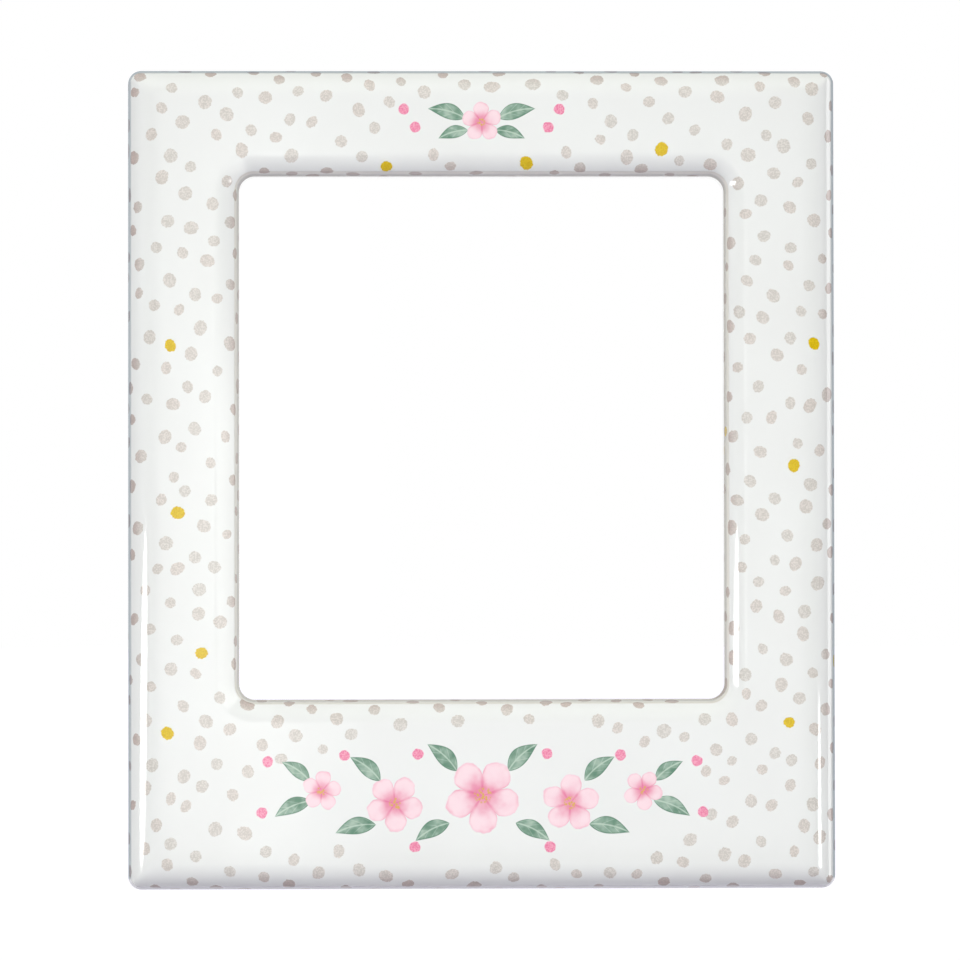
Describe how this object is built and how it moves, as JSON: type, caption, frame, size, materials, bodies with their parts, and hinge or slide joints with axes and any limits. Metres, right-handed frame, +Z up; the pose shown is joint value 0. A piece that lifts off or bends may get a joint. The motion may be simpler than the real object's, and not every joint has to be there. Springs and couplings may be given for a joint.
{
  "type": "magnetic photo frame",
  "caption": "Upright rectangular photo frame pressed from tin, wrapped in a glossy printed sheet, with a flat magnet back and a top-loading pocket behind its window.",
  "frame": {"origin": "centre of the frame's outline on the flat back face of the magnet", "axes": "+Y out of the magnet's back, towards the surface it clings to; +Z up; the printed front faces -Y"},
  "size_m": [0.095, 0.006, 0.11],
  "materials": {
    "clear_film": "clear glossy film wrapped over the print",
    "printed_sheet": "white printed paper with dots",
    "tinplate": "bright pressed tinplate",
    "moulded_back": "white moulded plastic, fine matte grain",
    "foam_tape": "white closed-cell foam tape",
    "flexible_magnet": "matte dark ferrite rubber",
    "clear_cover": "clear smooth plastic sheet"
  },
  "bodies": {
    "frame": {"clear_film": "clear_film", "printed_sheet": "printed_sheet", "front_shell": "tinplate", "back_plate": "moulded_back", "foam_tape_left": "foam_tape", "foam_tape_right": "foam_tape", "foam_tape_bottom": "foam_tape", "magnet_sheet": "flexible_magnet"},
    "cover": {"photo_cover": "clear_cover"}
  },
  "joints": [
    {"name": "photo_slide", "type": "slide", "parent": "frame", "child": "cover", "axis": [0, 0, 1], "range_m": [0, 0.104]}
  ]
}
